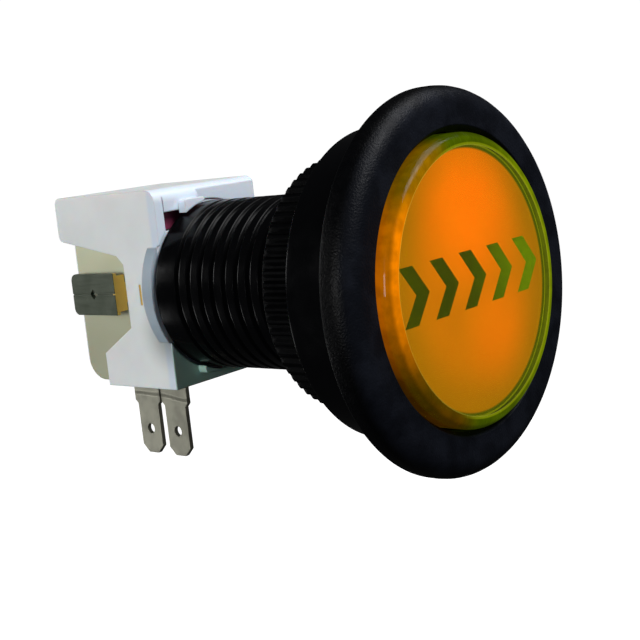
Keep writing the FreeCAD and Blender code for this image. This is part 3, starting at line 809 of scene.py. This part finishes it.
def dress_node(node: str, material: Material) -> None:
    """Give a node of the frame one material in each of its slots.

    Args:
        node: the node's name.
        material: the material to give it.
    """
    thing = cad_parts[node]
    if not thing.material_slots:
        thing.data.materials.append(material)
    for place in thing.material_slots:
        place.material = material
    LOG.info("%s wears %s", node, material.name)


# Sub-assemblies


@dataclass
class Housing:
    """The black moulding: bezel, skirt and threaded barrel. Sizes in millimetres."""

    lens_hole: float = 21.15
    lip_width: float = 0.7
    lip_depth: float = 1.0
    bezel_radius: float = 27.75
    bezel_front: float = -14.6
    bezel_back: float = -9.8
    rim_rounding: float = 3.0
    back_rounding: float = 0.7
    skirt_radius: float = 23.0
    skirt_draft: float = 0.4
    soft_edge: float = 0.35
    fillet: float = 0.3
    cup_floor: float = -1.9
    bore: float = 11.5
    inside_fillet: float = 0.2
    barrel_radius: float = 14.0
    barrel_end: float = 36.8
    barrel_fillet: float = 0.25
    barrel_rounding: float = 0.8
    arc_points: int = 9
    longest_run: float = 0.9
    pitch: float = 2.6
    groove_root: float = 0.2
    groove_mouth: float = 0.5
    edge_rounding: float = 0.07
    edge_rows: tuple[float, ...] = (0.18, 0.08, 0.03, -0.02, -0.07)
    crest_row: float = 0.7
    thread_depth: float = 0.6
    thread_start: float = 1.35
    thread_end: float = 34.6
    run_out_pitches: float = 0.12
    front_land: float = 0.3
    rear_land: float = 35.9
    columns: int = 192
    pieces: list[Object] = field(default_factory=list)

    def profile(self) -> np.ndarray:
        """The moulding's closed section: outside from the lens hole to the barrel's end, then the inside.

        Returns:
            Points as rows of (radius, along), in metres.
        """
        corners = [
            (self.lens_hole, self.bezel_front + self.lip_depth, self.fillet),
            (self.lens_hole + self.lip_width, self.bezel_front, self.soft_edge),
            (self.bezel_radius, self.bezel_front, self.rim_rounding),
            (self.bezel_radius, self.bezel_back, self.back_rounding),
            (self.skirt_radius + self.skirt_draft, self.bezel_back, self.fillet),
            (self.skirt_radius, 0.0, self.soft_edge),
            (self.barrel_radius, 0.0, self.barrel_fillet),
            (self.barrel_radius, self.barrel_end, self.barrel_rounding),
            (self.bore, self.barrel_end, self.inside_fillet),
            (self.bore, self.cup_floor, self.inside_fillet),
            (self.lens_hole, self.cup_floor, self.inside_fillet),
        ]
        return rounded_profile(corners, self.arc_points, self.longest_run)

    def pitch_rows(self) -> np.ndarray:
        """Places of the grid's rows within one pitch, measured from the groove's middle.

        Returns:
            Places from half a pitch before the groove to the last row before half a pitch after it.
        """
        half = 0.5 * self.pitch
        edge = self.groove_mouth + np.array(self.edge_rows)
        flank = [0.5 * (self.groove_root + self.groove_mouth), self.groove_root, 0.5 * self.groove_root]
        side = np.concatenate([[self.crest_row * half], edge, flank])
        return np.concatenate([[-half], -side, [0.0], side[::-1]])

    def groove(self, along: np.ndarray, angle: np.ndarray) -> np.ndarray:
        """Depth of the thread below its crest.

        The groove's middle lies where (along - start) / pitch + angle / turn is a whole number, so that the
        thread is right-handed. Its depth follows a smooth step over each flank and fades at both ends.

        Args:
            along: place along the axis, in millimetres.
            angle: angle round the axis.

        Returns:
            How far the surface lies below the crest, in millimetres.
        """
        turn = angle / (2.0 * math.pi)
        number = np.round((along - self.thread_start) / self.pitch + turn)
        middle = self.thread_start + self.pitch * (number - turn)
        outer = self.groove_mouth + self.edge_rounding
        share = np.clip((outer - np.abs(along - middle)) / (outer - self.groove_root), 0.0, 1.0)
        run_out = self.run_out_pitches * self.pitch
        fade = np.clip((middle - self.thread_start) / run_out, 0.0, 1.0)
        fade = fade * np.clip((self.thread_end - middle) / run_out, 0.0, 1.0)
        return self.thread_depth * share * share * (3.0 - 2.0 * share) * fade

    def barrel_grid(self, angle: np.ndarray) -> tuple[np.ndarray, int]:
        """Rows of the barrel that wind with the thread, so that each runs along the groove.

        Row y at angle a lies at y - pitch times a / turn, so a row that has gone once round meets the row
        one pitch before it. The first row starts a whole pitch late, to end its turn behind the front land.

        Args:
            angle: the columns' angles.

        Returns:
            The grid's points, and how many rows one pitch holds.
        """
        within = self.pitch_rows()
        first = math.ceil((self.front_land + 1.5 * self.pitch - self.thread_start) / self.pitch)
        last = math.floor((self.rear_land - 0.5 * self.pitch - self.thread_start) / self.pitch)
        number = np.arange(first, last + 1)[:, None]
        rows = (self.thread_start + self.pitch * number + within[None, :]).reshape(-1, 1)
        along = rows - self.pitch * angle / (2.0 * math.pi)
        radius = self.barrel_radius - self.groove(along, angle)
        return lathe(radius * MM, along * MM, angle), len(within)

    def build(self) -> None:
        """Make the moulding: turned rows and the barrel's winding rows, all in one surface."""
        profile = self.profile()
        on_barrel = np.isclose(profile[:, 0], self.barrel_radius * MM, atol=SAME_PLACE)
        front, *_, rear = np.flatnonzero(on_barrel).tolist()
        turned = np.concatenate([profile[rear:], profile[:front + 1]])
        angle = round_angles(self.columns)
        shell = lathe(turned[:, :1], turned[:, 1:], angle)
        barrel, per_pitch = self.barrel_grid(angle)
        points = np.concatenate([shell.reshape(-1, 3), barrel.reshape(-1, 3)])
        faces = grid_faces(len(turned), self.columns, False).tolist()
        faces += self.winding_faces(len(turned), len(barrel), per_pitch)
        piece = make_piece("housing_moulding", points, faces)
        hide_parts("bezel_housing")
        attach(piece, Body.HOUSING.value)
        self.pieces.append(piece)

    def winding_faces(self, turned: int, rows: int, per_pitch: int) -> list[list[int]]:
        """Faces of the winding rows, and those that join them to the rings before and after them.

        Args:
            turned: how many turned rows come first in the mesh.
            rows: how many winding rows there are.
            per_pitch: rows in one pitch, by which the grid shifts where it closes.

        Returns:
            Vertex numbers of each face.
        """
        wide = self.columns
        grid = turned * wide + np.arange(rows * wide).reshape(rows, wide)
        before = (turned - 1) * wide + np.arange(wide)
        after = np.arange(wide)
        inner = np.stack([grid[:-1, :-1], grid[:-1, 1:], grid[1:, 1:], grid[1:, :-1]], axis=-1)
        high, low = grid[per_pitch:, -1], grid[:rows - per_pitch, 0]
        seam = np.stack([high[:-1], low[:-1], low[1:], high[1:]], axis=-1)
        start = np.stack([before[:-1], before[1:], grid[0, 1:], grid[0, :-1]], axis=-1)
        end = np.stack([grid[-1, :-1], grid[-1, 1:], after[1:], after[:-1]], axis=-1)
        faces = np.concatenate([inner.reshape(-1, 4), seam, start, end]).tolist()
        first_gap = [before[-1], before[0], grid[0, 0], *grid[per_pitch:None:-1, -1]]
        last_gap = [grid[-1, -1], *grid[rows - 1 - per_pitch:, 0], after[0], after[-1]]
        return faces + [[int(number) for number in gap] for gap in (first_gap, last_gap)]

    def dress(self) -> None:
        """Give the moulding its black plastic."""
        dress(self.pieces[0], HousingPlastic().material())


@dataclass
class ReturnSpring:
    """The coil spring between the carrier's flange and the cup's floor. Sizes in millimetres."""

    coil_radius: float = 14.6
    wire_radius: float = 0.6
    front: float = -9.3
    rear: float = -1.9
    turns: float = 2.5
    travel: float = 3.0
    clearance: float = 0.03
    steps: int = 240
    sides: int = 12
    sharp: float = 60.0
    pieces: list[Object] = field(default_factory=list)

    def build(self) -> None:
        """Make the spring as a round wire along a helix.

        The wire's middle lies at the coil's radius and moves evenly along the axis with the angle. Each
        ring round it is the radial direction times a cosine plus the direction across times a sine.
        """
        low = self.front + self.wire_radius + self.clearance
        high = self.rear - self.wire_radius
        angle = np.linspace(0.0, 2.0 * math.pi * self.turns, self.steps)
        middle = lathe(self.coil_radius, np.linspace(low, high, self.steps), angle)
        radial = lathe(1.0, 0.0, angle)
        ahead = np.gradient(middle, axis=0)
        across = np.cross(radial, ahead / np.linalg.norm(ahead, axis=1, keepdims=True))
        turn = round_angles(self.sides)[:, :, None]
        ring = radial[:, None, :] * np.cos(turn) + across[:, None, :] * np.sin(turn)
        points = (middle[:, None, :] + self.wire_radius * ring).reshape(-1, 3) * MM
        faces = grid_faces(self.steps, self.sides, False).tolist()
        first_end = list(range(self.sides))[::-1]
        last_end = [(self.steps - 1) * self.sides + number for number in range(self.sides)]
        piece = make_piece("coil_spring", points, faces + [first_end, last_end], self.sharp)
        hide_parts("return_spring")
        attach(piece, Body.HOUSING.value)
        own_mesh(piece)
        self.pieces.append(piece)

    def dress(self) -> None:
        """Give the spring its drawn steel."""
        steel = RolledMetal("spring_steel", (0.55, 0.55, 0.57), (0.4, 0.4, 0.42), rough=(0.25, 0.4),
                            stretch=(1.0, 1.0, 1.0))
        dress(self.pieces[0], steel.material())


@dataclass
class PanelNut:
    """The black nylon nut with a serrated rim. Sizes in millimetres."""

    bore: float = 14.08
    root_radius: float = 18.75
    tooth_depth: float = 0.55
    tooth_count: int = 70
    tooth_middle: float = 0.5
    tooth_gain: float = 0.85
    tooth_end: float = 0.35
    front: float = 2.2
    rear: float = 8.85
    bevel: float = 0.7
    front_rounding: float = 0.25
    rim_rounding: float = 0.3
    bore_rounding: float = 0.2
    arc_points: int = 5
    longest_run: float = 0.5
    columns_per_tooth: int = 10
    pieces: list[Object] = field(default_factory=list)

    def build(self) -> None:
        """Make the nut as a turned ring whose outer rows swell with the angle into teeth.

        A tooth is a raised, clipped cosine of the angle from the top times the tooth count. It fades on the
        rim's roundings and before the rear bevel.
        """
        corners = [
            (self.bore, self.front, self.bore_rounding),
            (self.root_radius, self.front, self.front_rounding),
            (self.root_radius, self.rear - self.bevel, self.rim_rounding),
            (self.root_radius - self.bevel, self.rear, self.rim_rounding),
            (self.bore + self.bevel, self.rear, self.bore_rounding),
            (self.bore, self.rear - self.bevel, self.bore_rounding),
        ]
        profile = rounded_profile(corners, self.arc_points, self.longest_run)
        radius, along = profile[:, :1], profile[:, 1:]
        columns = self.tooth_count * self.columns_per_tooth
        angle = round_angles(columns)
        wave = np.cos(self.tooth_count * (angle - 0.5 * math.pi))
        swell = np.clip(self.tooth_middle + self.tooth_gain * wave, 0.0, 1.0)
        near_rim = np.clip((radius / MM - self.root_radius) / self.rim_rounding + 1.0, 0.0, 1.0)
        before = np.clip((self.rear - self.bevel - along / MM) / self.tooth_end, 0.0, 1.0)
        radius = radius + MM * self.tooth_depth * swell * near_rim * before
        points = lathe(radius, along, angle).reshape(-1, 3)
        faces = grid_faces(len(profile), columns, True).tolist()
        piece = make_piece("serrated_nut", points, faces)
        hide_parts("panel_nut")
        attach(piece, Body.NUT.value)
        self.pieces.append(piece)

    def dress(self) -> None:
        """Give the nut a satin black nylon."""
        nylon = GrainedPlastic("nut_nylon", (0.0007, 0.0008, 0.001), (0.0014, 0.0015, 0.0017),
                               rough=(0.34, 0.46), shine=0.025)
        dress(self.pieces[0], nylon.material())


@dataclass
class LitButton:
    """The lens with its film and the mark printed on it. Sizes in millimetres."""

    lens_radius: float = 20.8
    lens_front: float = -16.1
    lens_rear: float = -10.5
    lens_rounding: float = 1.5
    lens_inside: float = 19.2
    foot_rounding: float = 0.15
    ceiling: float = -14.26
    ceiling_fillet: float = 0.25
    arc_points: int = 12
    longest_run: float = 2.0
    columns: int = 192
    film_front: float = -14.1
    mark_gap: float = 0.04
    mark_count: int = 5
    mark_height: float = 8.0
    mark_level: float = 0.2
    mark_pitch: float = 7.0
    mark_stroke: float = 3.0
    mark_bend: float = 3.2
    mark_thickness: float = 0.05
    pieces: dict[str, Object] = field(default_factory=dict)

    def build(self) -> None:
        """Make the lens and the printed mark."""
        self.build_lens()
        self.build_mark()

    def build_lens(self) -> None:
        """Make the lens as a turned cap with a rounded rim and a hollow behind its face."""
        corners = [
            (0.0, self.lens_front, 0.0),
            (self.lens_radius, self.lens_front, self.lens_rounding),
            (self.lens_radius, self.lens_rear, self.foot_rounding),
            (self.lens_inside, self.lens_rear, self.foot_rounding),
            (self.lens_inside, self.ceiling, self.ceiling_fillet),
            (0.0, self.ceiling, 0.0),
        ]
        profile = rounded_profile(corners, self.arc_points, self.longest_run, closed=False)
        piece = turned_piece("amber_lens", profile, self.columns)
        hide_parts("lens_cap")
        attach(piece, Body.BUTTON.value)
        self.pieces["lens"] = piece

    def build_mark(self) -> None:
        """Make the row of plain arrowheads printed on the film.

        One arrowhead is a strip with three points on each edge, at heights -1, 0 and 1 in half heights. Its
        left edge lies at middle - stroke / 2 + bend (1/2 - |height|), and its right edge one stroke further.
        Two four-sided halves close its front and its back.
        """
        height = np.array([-1.0, 0.0, 1.0])
        halves = ((0, 1, 4, 5), (1, 2, 3, 4))
        bend = self.mark_bend * (0.5 - np.abs(height))
        up = self.mark_level + 0.5 * self.mark_height * height
        rear = self.film_front - self.mark_gap
        front = rear - self.mark_thickness
        points = []
        faces = []
        for index in range(self.mark_count):
            middle = (index - 0.5 * (self.mark_count - 1)) * self.mark_pitch
            left = middle - 0.5 * self.mark_stroke + bend
            across = np.concatenate([left, left[::-1] + self.mark_stroke])
            level = np.concatenate([up, up[::-1]])
            count = len(across)
            points += [np.stack([across, np.full(count, depth), level], axis=1) for depth in (front, rear)]
            base = 2 * count * index + np.arange(count)
            after = np.roll(base, -1)
            faces += np.stack([base, after, after + count, base + count], axis=1).tolist()
            faces += [base[list(half)].tolist() for half in halves]
            faces += [(base + count)[list(half[::-1])].tolist() for half in halves]
        piece = make_piece("printed_mark", np.concatenate(points) * MM, faces)
        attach(piece, Body.BUTTON.value)
        self.pieces["mark"] = piece

    def dress(self) -> None:
        """Give the lens, film, mark, diffuser and carrier their finishes."""
        dress(self.pieces["lens"], ClearLens().material())
        dress(self.pieces["mark"], PrintInk().material())
        dress_node("legend_disc", LitFilm().material())
        milky = GrainedPlastic("milky_plastic", (0.8, 0.78, 0.7), (0.88, 0.86, 0.8), rough=(0.35, 0.5))
        dress_node("diffuser_disc", milky.material())
        black = GrainedPlastic("carrier_black", (0.006, 0.007, 0.004), (0.012, 0.013, 0.008),
                               rough=(0.4, 0.55))
        dress_node("lens_carrier", black.material())


@dataclass
class LampModule:
    """The white holder with its contacts, terminals, plunger, lamp and switch."""

    nylon_nodes: tuple[str, ...] = ("lamp_holder", "rear_cover")
    brass_nodes: tuple[str, ...] = ("lamp_contact_left", "lamp_contact_right")
    terminal_nodes: tuple[str, ...] = ("common_terminal", "open_terminal")
    silver_nodes: tuple[str, ...] = ("moving_contact", "fixed_contact", "lamp_lead_left", "lamp_lead_right")
    terminal_fold: Span = mm(-19.1, -18.1)
    plunger_edge: float = 0.2 * MM

    def build(self) -> None:
        """Make nothing: the module's shapes come from the frame as they are."""

    def dress(self) -> None:
        """Give every node of the module its finish."""
        brass = RolledMetal("tab_brass", linear("#565E50"), linear("#4A5244"), rough=(0.34, 0.5),
                            stretch=(1.0, 0.05, 1.0), gold=linear("#ECC468"), metallic=0.6)
        plate = RolledMetal("terminal_plate", linear("#AEAD9C"), linear("#989788"), rough=(0.3, 0.42),
                            fold=self.terminal_fold, metallic=0.6)
        silver = RolledMetal("contact_silver", (0.8, 0.8, 0.79), (0.62, 0.62, 0.62), rough=(0.2, 0.35),
                             stretch=(1.0, 1.0, 1.0))
        blade = RolledMetal("blade_brass", linear("#C9A860"), linear("#A08448"), rough=(0.25, 0.4),
                            stretch=(0.05, 1.0, 1.0))
        maroon = GrainedPlastic("plunger_maroon", linear("#843250"), linear("#8E3C58"), rough=(0.35, 0.5),
                                edge=self.plunger_edge)
        wardrobe = (
            (WhiteNylon(), self.nylon_nodes), (brass, self.brass_nodes), (plate, self.terminal_nodes),
            (silver, self.silver_nodes), (blade, ("contact_blade",)), (maroon, ("switch_plunger",)),
            (ClearGlass(), ("lamp_bulb",)),
        )
        for finish, nodes in wardrobe:
            material = finish.material()
            for node in nodes:
                dress_node(node, material)


# Stage, light and camera


@dataclass
class Stage:
    """A white floor well below the button, a white surround and soft lights. Sizes in metres.

    A light is its name, its place, its width and its power.
    """

    floor_drop: float = 0.25
    floor_half: float = 6.0
    floor_dark: Colour = (0.98, 0.98, 0.98)
    floor_light: Colour = (1.0, 1.0, 1.0)
    floor_rough: float = 0.9
    floor_patches: Patches = Patches(3.0, 3.0)
    surround_light: float = 0.025
    surround_seen: float = 1.05
    aim: Place = (0.0, 0.02, 0.0)
    lights: tuple[tuple[str, Place, float, float], ...] = (
        ("left", (-0.59, -0.04, 0.06), 0.16, 2.1),
        ("front", (0.08, -0.42, 0.48), 0.26, 3.1),
        ("top", (0.24, -0.2, 0.55), 0.36, 2.8),
        ("back", (-0.26, 0.62, 0.12), 0.16, 0.9),
        ("low", (-0.2, 0.55, -0.2), 0.12, 0.38),
    )

    def build(self) -> None:
        """Make the floor, the surround and the lights."""
        self.build_floor()
        self.build_surround()
        for light in self.lights:
            self.add_light(*light)

    def build_floor(self) -> None:
        """Make a flat square floor of pale paint that doesn't light the object from below."""
        spread = np.array([[-1, -1], [1, -1], [1, 1], [-1, 1]]) * self.floor_half
        points = np.column_stack([spread, np.full(4, -self.floor_drop)])
        mesh = bpy.data.meshes.new("floor")
        mesh.from_pydata(points.tolist(), [], [[0, 1, 2, 3]])
        floor = bpy.data.objects.new("floor", mesh)
        bpy.context.scene.collection.objects.link(floor)
        bench = NodeBench("floor_white")
        tone = bench.mix(bench.spread(self.floor_patches), self.floor_dark, self.floor_light)
        bench.surface(Base_Color=tone, Roughness=self.floor_rough)
        bench.surface(Emission_Color=tone, Emission_Strength=1.0)
        dress(floor, bench.material)
        floor.visible_glossy = False
        floor.visible_diffuse = False
        floor.visible_transmission = False

    def build_surround(self) -> None:
        """Make it white all round for the camera, with a dim even light for everything else."""
        world = bpy.data.worlds.new("studio")
        world.use_nodes = True
        tree = world.node_tree
        back = tree.nodes["Background"]
        back.inputs["Color"].default_value = (1.0, 1.0, 1.0, 1.0)
        seen = tree.nodes.new("ShaderNodeLightPath")
        strength = tree.nodes.new("ShaderNodeMapRange")
        strength.inputs["To Min"].default_value = self.surround_light
        strength.inputs["To Max"].default_value = self.surround_seen
        tree.links.new(seen.outputs["Is Camera Ray"], strength.inputs["Value"])
        tree.links.new(strength.outputs["Result"], back.inputs["Strength"])
        bpy.context.scene.world = world
        bpy.context.scene.view_settings.view_transform = "Standard"

    def add_light(self, name: str, place: Place, size: float, power: float) -> None:
        """Hang one soft square light that looks at the button's middle.

        Args:
            name: the light's name.
            place: where it hangs.
            size: its width.
            power: its power in watts.
        """
        data = bpy.data.lights.new(name, "AREA")
        data.shape = "SQUARE"
        data.size = size
        data.energy = power
        lamp = bpy.data.objects.new(name, data)
        lamp.location = place
        lamp.rotation_euler = (Vector(self.aim) - Vector(place)).to_track_quat("-Z", "Y").to_euler()
        bpy.context.scene.collection.objects.link(lamp)


@dataclass
class PhotoCamera:
    """The camera where the photograph was taken from. Places in millimetres, its picture in pixels."""

    place: Place = (-139.5, -107.7, 22.8)
    look: Place = (0.7355, 0.6762, -0.042)
    up: Place = (0.1132, -0.0615, 0.9917)
    near: float = 10.0
    sensor: float = 36.0
    focal_pixels: float = 1184.0
    image: float = 640.0
    principal: Span = (275.0, 190.0)

    def build(self) -> None:
        """Make the camera and set it as the scene's."""
        data = bpy.data.cameras.new("photo_camera")
        data.sensor_width = self.sensor
        data.lens = self.sensor * self.focal_pixels / self.image
        data.shift_x = 0.5 - self.principal[0] / self.image
        data.shift_y = self.principal[1] / self.image - 0.5
        data.clip_start = self.near * MM
        camera = bpy.data.objects.new("photo_camera", data)
        back = -Vector(self.look).normalized()
        right = Vector(self.up).cross(back).normalized()
        top = back.cross(right)
        turn = Matrix((right, top, back)).transposed().to_4x4()
        camera.matrix_world = Matrix.Translation(Vector(self.place) * MM) @ turn
        bpy.context.scene.collection.objects.link(camera)
        bpy.context.scene.camera = camera


def main() -> None:
    """Build the stage, the camera and every sub-assembly, and report each."""
    logging.basicConfig(level=logging.INFO)
    for setting in (Stage(), PhotoCamera()):
        setting.build()
    for assembly in (Housing(), ReturnSpring(), PanelNut(), LitButton(), LampModule()):
        assembly.build()
        assembly.dress()
        LOG.info("%s is built", type(assembly).__name__)


if __name__ == "__main__":
    main()
